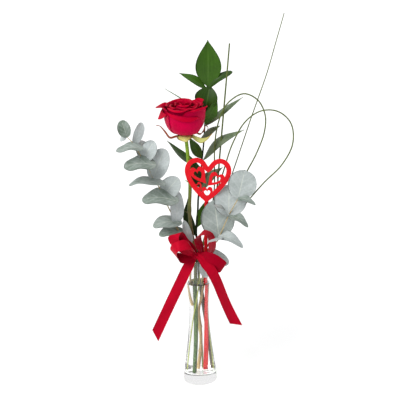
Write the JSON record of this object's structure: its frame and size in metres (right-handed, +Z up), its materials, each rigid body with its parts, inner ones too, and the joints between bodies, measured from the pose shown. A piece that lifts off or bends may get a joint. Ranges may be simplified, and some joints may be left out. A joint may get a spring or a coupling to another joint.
{
  "type": "rose in a bud vase",
  "caption": "Cut rose with leafy sprigs, grass loops, a heart on a stick and a ribbon bow, standing in water in a tall waisted glass bud vase.",
  "frame": {"origin": "centre of the vase's flat foot, on the surface it stands on", "axes": "+Z up the vase, +X to the right seen from the front, where the bow and the heart face, -Y to the front"},
  "size_m": [0.2456, 0.089, 0.5345],
  "materials": {
    "vase_glass": "clear polished",
    "water": "clear liquid",
    "rose_green": "waxy",
    "rose_petal": "velvety",
    "ruscus_leaf": "semi-gloss",
    "eucalyptus_leaf": "matt, waxy bloom",
    "grass": "matt",
    "painted_wood": "painted, satin",
    "satin_ribbon": "satin"
  },
  "bodies": {
    "root": {"vase": "vase_glass", "water": "water", "rose_stem": "rose_green", "rose_bloom": "rose_petal", "ruscus_spray": "ruscus_leaf", "eucalyptus_left": "eucalyptus_leaf", "eucalyptus_right": "eucalyptus_leaf", "grass_straight": "grass", "grass_long": "grass", "grass_loop_small": "grass", "grass_loop_large": "grass", "heart_pick": "painted_wood", "ribbon": "satin_ribbon"}
  },
  "joints": []
}
